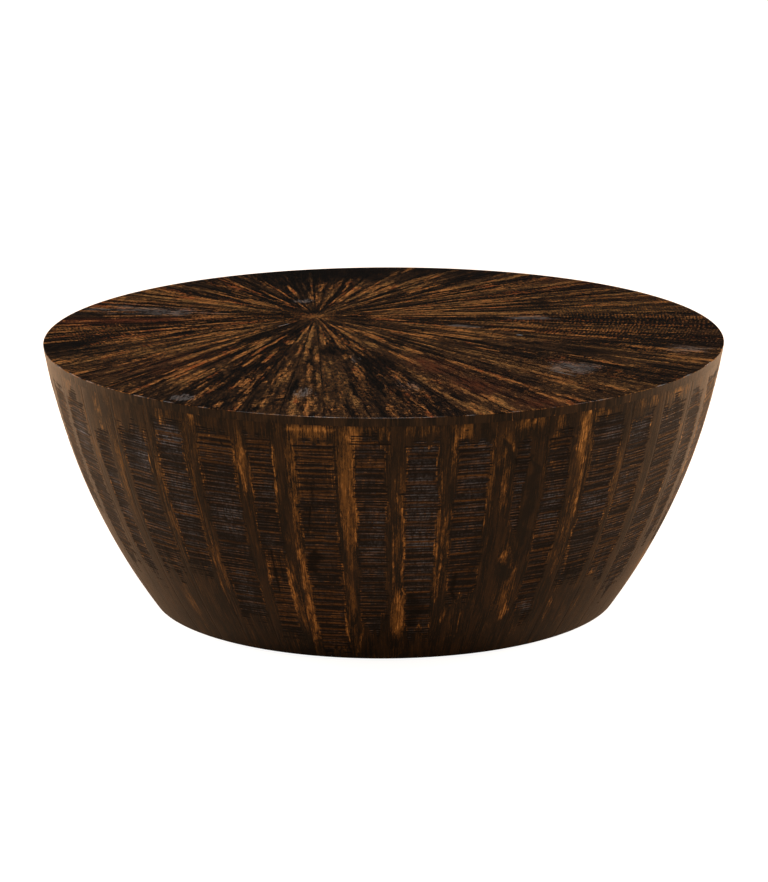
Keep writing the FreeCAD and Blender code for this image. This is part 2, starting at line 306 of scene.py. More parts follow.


# What the saw, the sander and years of hands left on the boards that the photograph shows. Across
# a board, places are in degrees from its middle; along it, in millimetres above the floor.
# sawn is the left, right, top and bottom of the part that keeps its saw marks. worn and dark are
# strokes from one place to another, with a width in millimetres and a strength. washed is where
# the stain is thin, and sheen marks are a painted sheen, grey that stands for the lacquer glinting
# on the saw marks; each has a middle, two half sizes and a strength. lines are single ridges
# across the saw marks, with a level and a strength.
BOARDS = {
    35: {"sawn": (-2.7, 3.3, 359, 190)},
    36: {"sawn": (-3.1, 2.9, 359, 113), "washed": [(3.6, 330, 1.2, 80, 0.3)],
        "painted_sheen": [(0, 310, 2, 30, 0.5)]},
    37: {"sawn": (-2.4, 1.6, 322, 113), "worn": [(0.1, 388, 0.1, 335, 5, 0.8), (0.1, 336, 0.1, 330, 9, 0.9)],
        "washed": [(3.4, 300, 1.2, 110, 0.35), (0.2, 360, 1, 30, 0.5)],
        "painted_sheen": [(0, 255, 1.5, 8, 0.7), (0, 200, 1.5, 10, 0.5)]},
    38: {"sawn": (-2.9, 3.4, 352, 113), "worn": [(-2.5, 338, -2.8, 280, 3, 1), (3.2, 348, 3.4, 282, 3.5, 1)],
        "washed": [(-3.6, 330, 0.8, 60, 0.3)], "painted_sheen": [(1.8, 308, 1.8, 28, 1), (0, 240, 2.5, 50, 0.35)]},
    39: {"sawn": (-2.5, 3, 363, 142),
        "worn": [(-1, 388, -1, 362, 5, 1), (-1.9, 358, -2.4, 290, 4, 0.8), (-2.4, 292, -2.6, 210, 5, 1),
            (-2.6, 215, -2.2, 158, 4, 0.8), (3.6, 200, 3.9, 80, 6, 0.5)],
        "washed": [(-3.4, 240, 0.9, 110, 0.5), (3.7, 250, 0.8, 140, 0.4), (-0.6, 378, 1.6, 16, 0.4)],
        "painted_sheen": [(0.3, 342, 2.4, 26, 1), (0, 250, 2.3, 60, 0.6), (0.2, 30, 1.5, 12, 0.7)],
        "lines": [(226, 1), (352, 0.6), (340, 0.6)]},
    40: {"sawn": (-2.4, 3.9, 363, 76),
        "worn": [(-3.6, 387, -1.2, 368, 12, 0.6), (-1.8, 352, 0.6, 361, 2.5, 0.9),
            (-2.2, 312, -2.1, 242, 3.5, 0.8), (3.8, 160, 3.6, 150, 5, 0.6), (-3.8, 190, -3.4, 120, 6, 0.6),
            (0.9, 92, 0.9, 70, 6, 0.6), (-1.2, 355, -1.2, 318, 12, 0.5)],
        "washed": [(-1, 345, 1.6, 26, 0.6), (-3.5, 375, 0.9, 20, 0.4), (3.9, 310, 0.9, 60, 0.45),
            (-3.6, 150, 0.9, 60, 0.45)],
        "painted_sheen": [(1.2, 238, 2.8, 45, 0.9), (0.8, 112, 1.8, 32, 0.9)],
        "lines": [(357, 0.8), (349, 0.7), (341, 0.8), (334, 0.7), (318, 0.5)]},
    41: {"sawn": (-1.9, 2.2, 367, 46),
        "worn": [(-3.3, 346, -3.2, 278, 7, 0.9), (-2.1, 345, -1.9, 253, 3, 0.8), (2.3, 350, 2, 238, 4, 0.9),
            (-1.2, 186, -1, 120, 8, 1), (0.2, 188, 0.4, 122, 5, 1), (1.9, 188, 2.4, 75, 8, 1),
            (-0.2, 206, -0.2, 196, 12, 0.6), (3.3, 130, 3.6, 40, 8, 0.4)],
        "dark": [(-0.5, 188, -0.4, 116, 2.5, 1), (0.9, 180, 1, 128, 2, 0.7)],
        "washed": [(-3.4, 320, 1, 50, 0.7), (2.2, 300, 0.8, 60, 0.4), (0.4, 150, 2.2, 45, 0.7),
            (0.6, 90, 2.4, 50, 0.45), (3.4, 110, 1, 80, 0.35)],
        "painted_sheen": [(-0.2, 201, 0.8, 8, 0.9), (0.8, 285, 1.2, 12, 0.6)],
        "lines": [(z, 0.75) for z in range(58, 124, 9)] + [(z, 0.6) for z in range(310, 362, 8)]},
    42: {"sawn": (-2.4, 3.9, 363, 17),
        "worn": [(-3.8, 380, 4, 381, 11, 0.9), (-3.2, 363, -3.2, 194, 12, 0.55),
            (-3.6, 192, -3.3, 30, 14, 0.85), (3.9, 172, 4, 22, 5, 0.85), (-1.8, 362, -1.9, 280, 9, 0.55),
            (2.4, 362, 2.6, 276, 12, 0.6), (-0.4, 264, -0.6, 218, 9, 0.6), (2.2, 262, 2, 214, 10, 0.6),
            (0.9, 150, 2.9, 128, 12, 0.6), (3.2, 345, 3.4, 276, 5, 0.8)],
        "dark": [(-0.9, 190, -0.5, 158, 17, 1), (-0.2, 300, -0.2, 262, 5, 0.6), (-0.8, 262, -1, 225, 3, 0.8)],
        "washed": [(0, 378, 4.2, 16, 0.75), (-3, 300, 1.2, 110, 0.65), (0.8, 320, 3.4, 50, 0.6),
            (0.6, 240, 2.6, 36, 0.65), (-2.6, 120, 1.8, 90, 0.6), (1.8, 140, 2, 20, 0.5),
            (1, 60, 3.2, 60, 0.4)],
        "lines": [(z, 0.85) for z in range(24, 130, 11)] + [(z, 0.7) for z in range(278, 362, 9)] + [(208, 1),
            (196, 0.7), (176, 0.5)]},
    1: {"sawn": (-1.4, 3.4, 367, 68),
        "worn": [(-2.2, 386, -2.1, 352, 15, 1), (-2.9, 372, -3, 194, 19, 0.6), (-1.8, 352, -1.7, 280, 3.5, 0.9),
            (-1.7, 282, -1.6, 201, 5, 1), (1.3, 342, 1.3, 332, 12, 0.8), (3.3, 275, 3.3, 135, 2.5, 0.6),
            (-0.8, 82, -1.6, 50, 5, 0.8), (-1.6, 52, -3.3, 8, 6, 0.7), (4, 380, 4, 326, 3, 0.6),
            (0, 268, 2.4, 250, 9, 0.6), (-1.2, 140, -1, 82, 4, 0.5), (-1, 383, 3.4, 383, 6, 0.6)],
        "washed": [(-2.7, 290, 1.7, 120, 0.85), (-2.4, 372, 2, 20, 0.8), (1.6, 376, 3, 14, 0.5),
            (1.2, 338, 1.6, 10, 0.5), (-3.4, 90, 1.2, 70, 0.4), (1, 262, 2.2, 14, 0.45)],
        "painted_sheen": [(2, 222, 1.1, 24, 1), (1, 195, 2, 40, 0.6), (1.6, 258, 1.2, 8, 0.7)],
        "lines": [(363, 0.8), (356, 0.4), (333, 0.7), (326, 0.8), (172, 0.3)]},
    2: {"sawn": (-1.7, 3.5, 363, 50),
        "worn": [(-3.7, 308, -2.3, 234, 3.5, 0.7), (-2.2, 262, -1.8, 128, 4, 1), (-1.9, 130, -2, 56, 8, 1),
            (-3, 122, -2.8, 52, 16, 0.85), (-3.9, 240, -3.7, 130, 4, 0.7), (3.7, 342, 3.9, 216, 6, 0.5),
            (4.1, 260, 4.1, 105, 4, 0.8)],
        "dark": [(0.8, 118, 1, 66, 26, 0.7)],
        "washed": [(-2.6, 90, 1.9, 45, 0.8), (-2.6, 230, 1.2, 90, 0.4), (4, 220, 0.8, 110, 0.45),
            (0.5, 380, 3.5, 10, 0.35)],
        "painted_sheen": [(1, 240, 2.6, 120, 0.75), (1, 345, 2.2, 20, 0.5), (0.8, 28, 2.2, 14, 0.35)],
        "lines": [(300, 0.6), (270, 0.7), (240, 0.6), (208, 1), (179, 0.6), (153, 0.6), (124, 0.9), (98, 0.8),
            (77, 0.7)]},
    3: {"sawn": (-2.3, 3.3, 356, 110),
        "worn": [(-1.5, 382, -1, 366, 12, 1), (-2.9, 378, -2.7, 330, 6, 0.8), (-3.8, 260, -3.9, 105, 4, 0.8),
            (3.3, 276, 3.4, 207, 2.5, 0.8), (-2.1, 96, -2.1, 68, 5, 0.7), (1.6, 84, 1.6, 62, 5, 0.5),
            (-2.9, 240, -2.3, 150, 6, 0.5), (3.9, 376, 3.8, 318, 5, 0.5)],
        "dark": [(-0.6, 152, -0.8, 112, 10, 0.8)],
        "washed": [(-1.4, 376, 1.8, 14, 0.7), (-2.8, 340, 0.8, 40, 0.4), (3.9, 330, 0.8, 60, 0.4),
            (-3.2, 190, 1, 80, 0.35)],
        "painted_sheen": [(2.4, 350, 1.6, 18, 0.9), (1, 285, 2.4, 70, 0.4), (1.9, 26, 1.9, 11, 1)],
        "lines": [(353, 0.8), (334, 0.5), (308, 1), (288, 0.6), (270, 1), (242, 0.8), (210, 1), (185, 0.9),
            (154, 0.8), (129, 0.7), (97, 0.5)]},
    4: {"sawn": (-0.8, 1.2, 345, 240),
        "worn": [(-1, 372, 0.8, 386, 5, 0.8), (0.6, 374, 2.6, 386, 5, 0.7), (-1.6, 352, -1.3, 340, 7, 0.9),
            (-2.4, 304, -2.2, 256, 8, 0.7), (-0.4, 182, -0.2, 164, 9, 1), (2.6, 150, 2.2, 96, 6, 0.8),
            (2.2, 98, 1.7, 64, 11, 1), (-0.9, 242, -0.4, 212, 8, 0.4)],
        "dark": [(-3, 360, -1, 322, 8, 1), (0.6, 152, 0.6, 136, 22, 1), (2.2, 330, 2.2, 190, 16, 0.8)],
        "washed": [(1, 380, 3.2, 12, 0.5), (-2.2, 290, 1, 50, 0.45), (2, 110, 1.8, 50, 0.5),
            (-0.2, 175, 1.4, 20, 0.5)],
        "painted_sheen": [(0.3, 280, 0.9, 15, 1), (2, 345, 0.8, 12, 0.7), (0.4, 230, 0.8, 25, 0.4)]},
    5: {"sawn": (-3.6, 0.6, 359, 69),
        "worn": [(-3.2, 356, -1.6, 357, 6, 1), (-2.4, 352, -2.2, 336, 9, 0.9), (-2.9, 318, -2.2, 308, 8, 1),
            (-3, 300, -2.8, 270, 7, 0.6), (2.8, 392, 2.8, 306, 13, 1), (3.9, 306, 4.1, 222, 5, 0.9),
            (-3.9, 205, -3.1, 176, 4, 0.9), (-1.8, 384, -1.2, 362, 8, 0.6), (2.2, 300, 2.6, 120, 7, 0.45),
            (-3.4, 130, -3.6, 90, 8, 0.5), (0.5, 352, 3, 351, 3, 0.5)],
        "dark": [(0.2, 384, 0.4, 362, 12, 0.7)],
        "washed": [(3, 345, 1.4, 50, 0.8), (3.6, 230, 1, 90, 0.45), (-2.4, 345, 1.4, 18, 0.5),
            (-1.4, 378, 1.6, 12, 0.5), (-3.2, 180, 1, 40, 0.4)],
        "painted_sheen": [(-1.2, 245, 1.8, 32, 0.9), (-1.4, 78, 2, 10, 1), (1, 30, 0.6, 18, 0.4)],
        "lines": [(199, 0.8), (177, 1), (150, 0.6), (124, 0.7), (92, 0.4)]},
    6: {"sawn": (-3.5, 2.7, 361, 130),
        "worn": [(-3.9, 200, -2.6, 128, 6, 1), (-3.2, 108, -2.9, 44, 7, 0.6), (-2.1, 381, -2, 372, 12, 0.8),
            (3.2, 300, 3, 220, 5, 0.5)],
        "washed": [(-3.4, 340, 0.9, 60, 0.5), (-2.6, 378, 1.4, 12, 0.6), (-3, 160, 1.2, 50, 0.5),
            (3.3, 260, 0.9, 70, 0.35)],
        "painted_sheen": [(0.4, 345, 2.2, 15, 0.7), (-0.3, 243, 2.8, 22, 1), (-1.6, 185, 1.5, 12, 0.4)],
        "lines": [(260, 0.7), (228, 0.7), (322, 0.3)]},
    7: {"sawn": (-4, 1.4, 361, 105),
        "worn": [(-4, 266, -3.9, 172, 4, 0.8), (0.8, 160, 1.2, 140, 4, 0.8), (-3.6, 250, -3.4, 244, 7, 0.6)],
        "washed": [(-3.6, 220, 0.9, 60, 0.5), (0, 380, 3.6, 10, 0.35)],
        "painted_sheen": [(-1.6, 335, 2.2, 26, 0.5), (-2, 250, 1.5, 20, 0.4)],
        "lines": [(253, 0.5), (205, 0.6), (183, 0.6), (160, 0.5)]},
    8: {"sawn": (-3.9, 2.7, 367, 69), "worn": [(-3, 381, 2.6, 380, 9, 0.6), (-2.7, 352, -2.6, 340, 6, 0.6)],
        "washed": [(0, 378, 3.6, 10, 0.5), (-3.2, 330, 0.9, 50, 0.3)],
        "lines": [(316, 0.6), (298, 0.5), (265, 0.4), (174, 0.6)]},
    9: {"sawn": (-3.1, 2.3, 365, 150), "worn": [(-3.6, 384, 0, 380, 8, 0.5)]},
}


def chance_board(rng):
    """Marks of the same kinds for a board that the photograph doesn't show."""
    draw = rng.uniform
    left, right = -2.5 + rng.normal(0, 0.6), 2.7 + rng.normal(0, 0.6)
    top, bottom = draw(352, 368), draw(45, 130)
    board = {kind: [] for kind in ("worn", "dark", "washed", "painted_sheen", "lines")}
    board["sawn"] = (left, right, top, bottom)
    for _ in range(rng.integers(2, 6)):
        place = rng.choice([-3.3, 3.4, 0.0]) + rng.normal(0, 0.4)
        board["washed"].append((place, draw(60, 385), draw(0.8, 2.4), draw(15, 90), draw(0.3, 0.8)))
    for side in (left - 0.1, right + 0.1):
        for _ in range(rng.integers(1, 4)):
            high = draw(bottom + 60, top)
            low = max(high - draw(40, 120), bottom)
            stroke = (side + rng.normal(0, 0.15), high, side + rng.normal(0, 0.2), low)
            board["worn"].append((*stroke, draw(3, 6), draw(0.6, 1.0)))
    for _ in range(rng.integers(1, 5)):
        place, high = rng.choice([-1, 1]) * draw(2.6, 4.0), draw(90, 385)
        board["worn"].append((place, high, place, high - draw(25, 130), draw(4, 10), draw(0.3, 0.7)))
    if rng.random() < 0.6:
        place = draw(-3, 3)
        low = (place + rng.normal(0, 0.5), draw(355, 375))
        board["worn"].append((place, 386, *low, draw(7, 14), draw(0.6, 1.0)))
    for _ in range(rng.integers(1, 4)):
        middle = (draw(left + 1, right - 1), draw(bottom + 20, top - 10))
        board["painted_sheen"].append((*middle, draw(1, 2.6), draw(8, 60), draw(0.3, 0.8)))
    for _ in range(rng.integers(0, 3)):
        place, high = draw(-2, 2), draw(120, 330)
        board["dark"].append((place, high, place, high - draw(15, 60), draw(5, 20), draw(0.5, 1.0)))
    level = top - 5
    while level > bottom + 8:
        board["lines"].append((level, draw(0.2, 1.0) ** 1.5))
        level -= draw(7, 34)
    return board


def waves(rng, rows, columns, row_step, column_step):
    """Smooth chance ups and downs over a grid, with a knot every so many rows and columns."""
    knots = rng.normal(0, 1, (rows // row_step + 3, columns // column_step + 3))

    def between_knots(count, step):
        place = np.arange(count) / step + rng.uniform(0, 1)
        first = place.astype(int)
        share = place - first
        return first, share * share * (3 - 2 * share)

    row, row_share = between_knots(rows, row_step)
    column, column_share = between_knots(columns, column_step)
    along = knots[row] * (1 - row_share)[:, None] + knots[row + 1] * row_share[:, None]
    return along[:, column] * (1 - column_share) + along[:, column + 1] * column_share


# Depths and widths in millimetres. The hollow runs out by so much to each millimetre of length.
HOLLOW = 0.85
UPPER_RUN_OUT = 0.034
LOWER_RUN_OUT = 0.02
TOOTH_ROWS = 3
LINE_HALF = 1.15
LINE_HEIGHT = 0.35
DARK_DEPTH = 0.25


def carve_stave(rng, marks, turn, level):
    """Depth of a board's face and the amounts of its finish, over rows of points."""
    rows, columns = turn.shape
    reach = drum_radius(level / 1000) * 1000
    across = np.radians(turn) * reach
    left, right, top, bottom = marks["sawn"]

    def ragged(step):
        """Chance ups and downs along the board."""
        return waves(rng, rows, 1, step, 1)

    def uneven(row_step, column_step):
        """Chance ups and downs over the whole face."""
        return waves(rng, rows, columns, row_step, column_step)

    # The sanded borders run out raggedly, and the hollow between them runs out up and down.
    left = left + ragged(30) * 0.22 + ragged(3) * 0.13
    right = right + ragged(30) * 0.22 + ragged(3) * 0.13
    end_wave = waves(rng, 1, columns, 1, 7) * 8 + waves(rng, 1, columns, 1, 2) * 3.5
    flat = 4 * HOLLOW * (turn - left) * (right - turn) / (right - left) ** 2
    flat = np.minimum(flat, (top - level + end_wave) * UPPER_RUN_OUT)
    flat = np.minimum(flat, (level - bottom + 2 * end_wave) * LOWER_RUN_OUT)
    flat = np.clip(flat, -0.9, HOLLOW)

    # Each tooth leaves a groove of its own between two ridges, and the board chatters under it.
    tooth = rng.random(rows // TOOTH_ROWS + 2)
    tooth = tooth[(np.arange(rows) + rng.integers(TOOTH_ROWS)) // TOOTH_ROWS][:, None]
    saw_line = (0.14 + 0.34 * tooth ** 2) * np.clip(0.85 + 0.3 * uneven(3, 16), 0, 1.4)
    bite = np.clip(0.75 + 0.5 * uneven(26, 14), 0.15, 1.3)
    on_ridge = (np.arange(rows) % TOOTH_ROWS == 0)[:, None]
    groove = ~on_ridge * saw_line * bite
    chatter = 0.09 * np.sin(level / rng.uniform(8.5, 10.5) * 2 * np.pi + rng.uniform(0, 6) + across * 0.02)
    depth = flat + groove + chatter * (flat > -0.3) + 0.07 * uneven(2, 3)

    def stroke(x1, z1, x2, z2, width, strength):
        """How strongly one wandering, uneven stroke covers each point."""
        ax, bx = np.radians(x1) * reach, np.radians(x2) * reach
        dx, dz = bx - ax, z2 - z1
        share = np.clip(((across - ax) * dx + (level - z1) * dz) / (dx * dx + dz * dz + 1e-6), 0, 1)
        wander = width * (0.28 * ragged(12) + 0.07 * ragged(3))
        swell = np.clip(1 + 0.4 * ragged(6), 0.35, 1.8)
        swell = swell * (0.45 + 0.55 * (4 * share * (1 - share)) ** 0.5)
        away = np.hypot(across - ax - share * dx - wander, level - z1 - share * dz)
        return strength * np.exp(-(away / (0.66 * width * swell)) ** 2)

    def far_from(x, z, half_x, half_z):
        """Square of how far each point is from a place, in half sizes of the mark."""
        return ((turn - x) / half_x) ** 2 + ((level - z) / half_z) ** 2

    worn, dark, painted_sheen, lines = (np.zeros_like(turn) for _ in range(4))
    for mark in marks.get("worn", []):
        worn = np.maximum(worn, stroke(*mark))
    for mark in marks.get("dark", []):
        dark = np.maximum(dark, stroke(*mark))
    wash = np.clip(0.16 * uneven(46, 12) + 0.1 * uneven(13, 7), 0, 1)
    for *place, strength in marks.get("washed", []):
        wash = np.maximum(wash, strength * np.exp(-far_from(*place) ** 2))
    edge = np.exp(-(flat / 0.14) ** 2) * np.clip(0.5 + 0.6 * ragged(20), 0, 1)
    edge = edge * (level < top - 6) * (level > bottom + 6)
    worn = np.clip(np.maximum(worn, edge * 0.95), 0, 1)
    # Painted sheen: grey that stands for the lacquer glinting on the saw marks, in the listed marks and faintly
    # over the whole sawn part.
    for *place, strength in marks.get("painted_sheen", []):
        painted_sheen = np.maximum(painted_sheen, strength * np.exp(-far_from(*place)))
    painted_sheen = np.clip(painted_sheen + 0.18 * (flat > 0) + 0.05 * uneven(20, 8), 0, 1)

    # Besides the board's own lines, faint ones cross the whole sawn part.
    faint_lines = []
    line_level = top - 4
    while line_level > bottom + 6:
        faint_lines.append((line_level, rng.uniform(0.05, 0.55)))
        line_level -= rng.uniform(6, 13)
    for z, strength in marks.get("lines", []) + faint_lines:
        slope = rng.normal(0, 0.012)
        wobble = waves(rng, 1, columns, 1, 9) * 0.5
        ridge = strength * np.exp(-((level - z - slope * across - wobble) / LINE_HALF) ** 2) * (flat > 0.05)
        lines = np.maximum(lines, ridge)
        depth = depth - LINE_HEIGHT * ridge
    depth = depth + DARK_DEPTH * dark * (flat > 0)
    shine = 0.35 + 0.7 * rng.random((rows, 1)) + 0.25 * uneven(2, 9)
    crest = np.clip(np.where(on_ridge, shine, 0.5 - 2 * saw_line), 0, 1)
    return depth, np.stack([worn, painted_sheen, dark, lines], -1), np.stack([wash, crest], -1)


def set_attribute(mesh, name, kind, values):
    """Stores a value, or four amounts, at each vertex for the finish to read."""
    mesh.attributes.new(name, kind, "POINT")
    key = "color" if kind == "FLOAT_COLOR" else "value"
    mesh.attributes[name].data.foreach_set(key, np.ascontiguousarray(values, np.float32).ravel())


def set_grain_map(mesh, spots):
    """Lays a map along the grain, in metres, from a place for each vertex."""
    grain = mesh.uv_layers.new(name="grain")
    corners = np.empty(len(mesh.loops), int)
    mesh.loops.foreach_get("vertex_index", corners)
    grain.data.foreach_set("uv", spots[corners].astype(np.float32).ravel())


def figure(grain, across, along, detail=2.0, roughness=0.5, distortion=0.0, shift=0.0):
    """A chance figure drawn out along the grain, with its two sizes in millimetres."""
    finish = grain[0].finish
    place = {0: grain[0] * (1000 / across) + shift, 1: grain[1] * (1000 / along) - shift}
    place = finish.node("ShaderNodeCombineXYZ", None, place)
    inputs = {"Vector": place, "Scale": 1, "Detail": detail, "Roughness": roughness, "Distortion": distortion}
    return finish.node("ShaderNodeTexNoise", {"noise_dimensions": "2D"}, inputs)


def grain_of(finish):
    """Place across and along the grain, in metres."""
    whole = finish.node("ShaderNodeUVMap", {"uv_map": "grain"})
    across = finish.node("ShaderNodeSeparateXYZ", None, {0: whole})
    return across, across.beside(1)


def stored(finish, name):
    """The four amounts that the points of a piece carry under a name."""
    whole = finish.node("ShaderNodeAttribute", {"attribute_name": name})
    first = finish.node("ShaderNodeSeparateColor", None, {0: whole})
    return first, first.beside(1), first.beside(2), whole.beside("Alpha")


def blend(amount, under, over):
    """Lays one colour over another, each from a socket or as it is read off a screen."""
    under, over = (colour if isinstance(colour, Level) else srgb(*colour) for colour in (under, over))
    # A Mix takes colours by its inputs 6 and 7 and gives one by its output 2.
    return amount.finish.node("ShaderNodeMix", {"data_type": "RGBA"}, {0: amount, 6: under, 7: over}, 2)


def lacquer(finish, colour, roughness, relief, coat, coat_roughness):
    """Finishes a piece with its colour, gloss, relief in millimetres and clear coat."""
    lift = finish.node("ShaderNodeBump", None, {"Strength": 1, "Distance": 0.001, "Height": relief})
    inputs = {"Base Color": colour, "Roughness": roughness, "Normal": lift, "Specular IOR Level": 0.1,
              "Coat Weight": coat, "Coat Roughness": coat_roughness}
    coated = finish.node("ShaderNodeBsdfPrincipled", None, inputs)
    finish.node("ShaderNodeOutputMaterial", None, {"Surface": coated})
    return finish.owner


def stave_finish():
    """Nearly black stain, worn to amber on edges and ridges, under a satin lacquer."""
    wood = Finish(bpy.data.materials.new("stave_lacquer"))
    grain = grain_of(wood)
    sawn = wood.node("ShaderNodeAttribute", {"attribute_name": "sawn"}, output="Fac")
    worn, painted_sheen, dark, lines = stored(wood, "marks")
    wash, crest, _, inside = stored(wood, "traits")

    # Chance figures, from single fibres to clouds as long as a finger.
    fibre = figure(grain, 1.8, 45, 3, 0.6)
    fine_fibre = figure(grain, 0.6, 14, 2, 0.6, shift=3.1)
    cloud = figure(grain, 14, 70, 3, 0.6, 0.4, shift=7.7)
    patchy = figure(grain, 5, 12, 4, 0.65, 0.3, shift=11.3)
    saw_marks = figure(grain, 60, 3.2, 3, 0.6, shift=5.2)
    specks = figure(grain, 5, 1.5, 3, 0.7, shift=17.9)
    curl = figure(grain, 2.2, 9, 3, 0.65, 1.2, shift=23.1)

    # Where the board is sawn, where a ridge stands out there, and where its crest is rubbed to brown
    # and glints in the painted sheen.
    in_saw = (sawn + saw_marks.swing(0.9) + specks.swing(0.3)).between(-0.04, 0.16)
    ridge = (0.3 + saw_marks.swing(1.6) + crest.swing(1.6) + specks.swing(1.5)).between(0.1, 1.0)
    on_crest = (crest + specks.swing(0.8) + fine_fibre.swing(0.3)).between(0.35, 0.9)

    # The sanded borders: deep brown, with lighter fibres.
    band = blend(cloud.between(0.38, 0.7), (15, 9, 5), (45, 28, 13))
    band = blend((fibre + curl * 0.6).between(0.76, 1.1) * 0.5, band, (84, 52, 20))
    # The sawn part: charcoal, brown on the crests of the saw marks, and grey on them where a painted
    # sheen stands for the lacquer glinting.
    sawn_crest = blend(cloud.between(0.48, 0.6) * on_crest, (50, 38, 28), (118, 77, 34))
    rough = blend(ridge, (22, 17, 14), sawn_crest)
    grey = (crest + specks.swing(1.6) + saw_marks.swing(1.2)).between(0.0, 0.8)
    grey = grey * (fine_fibre + patchy).between(0.75, 1.2) * painted_sheen
    rough = blend((grey * (0.5 + on_crest * 0.6)).least(1), rough, (104, 104, 108))
    colour = blend(in_saw, band, rough)

    # Thin stain, then amber where it is worn off and along the single lines, then dark strokes.
    golden = wash + cloud.swing(1.2) + curl.swing(1.6) + fibre.swing(1.6) + patchy.swing(0.8)
    golden = golden.between(0.15, 1.3) * wash.between(0.0, 0.3) * (1 - in_saw * (1 - ridge * on_crest))
    colour = blend(golden, colour, (122, 79, 32))
    bitten = worn + patchy.swing(1.1) + curl.swing(1.2) + fibre.swing(1.8) + fine_fibre.swing(0.9)
    amber = bitten.between(0.2, 1.35) * worn.between(0.05, 0.5)
    amber = amber * (1 - in_saw * (0.9 - 0.9 * on_crest))
    streak = lines * saw_marks.between(0.26, 0.46) * (specks + patchy).between(0.65, 1.05)
    tone = blend(bitten.between(0.6, 1.5), (112, 71, 29), (196, 132, 64))
    colour = blend(amber.most(streak).least(1), colour, tone)
    colour = blend(dark.between(0.1, 0.8) * 0.85, colour, (11, 7, 5))

    # The back inside the drum is bare wood.
    bare = blend(cloud.between(0.3, 0.7), (104, 74, 46), (136, 100, 64))
    bare = blend(fibre.between(0.5, 0.75) * 0.5, bare, (84, 58, 36))
    colour = blend((inside + patchy.swing(0.16)).between(0.1, 0.24), colour, bare)

    roughness = 0.32 + in_saw * 0.26 + patchy.swing(0.14) - painted_sheen * in_saw * 0.12
    relief = (fibre + curl - 1) * 0.09 * (1 - in_saw) + in_saw * (ridge * 0.35 + specks.swing(0.18))
    return lacquer(wood, colour, roughness, relief, 0.3 - in_saw * 0.22, 0.2)


# The joints are eased, in millimetres, over part of a degree.
SEAM_DEPTH = 0.22
SEAM_HALF = 0.09

stave_lacquer = stave_finish()
plain_board, face_count = plain_stave()
plain_places = positions(plain_board.data)
plain_turn = np.degrees(np.arctan2(plain_places[:, 1], plain_places[:, 0]))
order = np.lexsort((plain_turn[:face_count].round(5), plain_places[:face_count, 2].round(7)))
grid = order.reshape(STAVE_ROWS + 1, STAVE_COLUMNS + 1)

for number in range(1, STAVE_COUNT + 1):
    rng = np.random.default_rng(STAVE_SEED + number)
    marks = BOARDS.get(number) or chance_board(rng)
    mesh = plain_board.data.copy()
    places = plain_places.copy()
    face_turn = plain_turn[grid]

    # The saw fed unevenly, and it stood a little askew and bowed, but the ends are cut level.
    spread = rng.uniform(0.72, 1.28, STAVE_ROWS)
    share = np.concatenate([[0], np.cumsum(spread)]) / spread.sum()
    lean, bow = rng.normal(0, 0.35), rng.normal(0, 0.4)
    side = face_turn / STAVE_HALF
    held = np.clip(8 * share * (1 - share), 0, 1)[:, None]
    level = (STAVE_FOOT + share * (STAVE_TOP - STAVE_FOOT))[:, None]
    level = level + held * (lean * side + bow * (side ** 2 - 0.3)) / 1000

    depth, stains, saw_traits = carve_stave(rng, marks, face_turn, level * 1000)
    # Nothing stands above the sanded borders, and the sawn part starts below them softly.
    cut = 0.5 * (depth + np.sqrt(depth ** 2 + 0.004))
    seam = SEAM_DEPTH * np.exp(-((STAVE_HALF - abs(face_turn)) / SEAM_HALF) ** 2)
    sway = 0.06 * waves(rng, STAVE_ROWS + 1, STAVE_COLUMNS + 1, 34, 12)
    reach = drum_radius(level, SANDED_IN) - (cut + seam + sway) / 1000
    places[grid, 0] = reach * np.cos(np.radians(face_turn))
    places[grid, 1] = reach * np.sin(np.radians(face_turn))
    places[grid, 2] = level
    mesh.vertices.foreach_set("co", places.ravel())

    sawn = np.full(len(places), -1.0)
    sawn[grid] = depth
    set_attribute(mesh, "sawn", "FLOAT", sawn)
    marked, traits = np.zeros((2, len(places), 4))
    marked[grid] = np.clip(stains, 0, 1)
    traits[grid, :2] = np.clip(saw_traits, 0, 1)
    traits[face_count:, 3] = 1
    set_attribute(mesh, "marks", "FLOAT_COLOR", marked)
    set_attribute(mesh, "traits", "FLOAT_COLOR", traits)
    # Each board has a stretch of grain of its own.
    aside = np.radians(plain_turn) * np.hypot(places[:, 0], places[:, 1])
    set_grain_map(mesh, np.column_stack([aside + 0.3 * number, places[:, 2]]))
    angle = math.radians(FIRST_STAVE + (number - 1) * 360 / STAVE_COUNT)
    mesh.transform(Matrix.Rotation(angle, 4, "Z"))
    mesh.materials.append(stave_lacquer)
    stave = bpy.data.objects.new(f"carved_stave_{number:02d}", mesh)
    scene.collection.objects.link(stave)
    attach(stave, "root")
    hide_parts(f"stave_{number:02d}")
bpy.data.objects.remove(plain_board)


# Sunburst top
# 64 tapered slats of mixed reclaimed hardwood, glued edge to edge on the deck in eight fans. They
# meet at one point left of and behind the middle. Planed by hand, stained, rubbed back to amber
# along the grain and lacquered to a gloss; the rim is sawn round after gluing and eased.
SLAT_COUNT = 64
SLATS_PER_SECTOR = 8
SLAT_TURN = math.radians(360 / SLAT_COUNT)
FIRST_JOINT = math.radians(272)
FOCUS = np.array([-0.104, 0.140])
RIM = 0.510
RIM_UNDER = 0.5079
TABLE_TOP = 0.400
SLAT_UNDER = 0.387
JOINT_HALF = 0.00001
SLAT_COLUMNS = 14
ROW_PITCH = 0.0021
ARRIS = 0.0016
ARRIS_ROWS = 4
EDGE_ROWS = 5
MERGED_WITHIN = 0.000002
SLAT_SEED = 3000
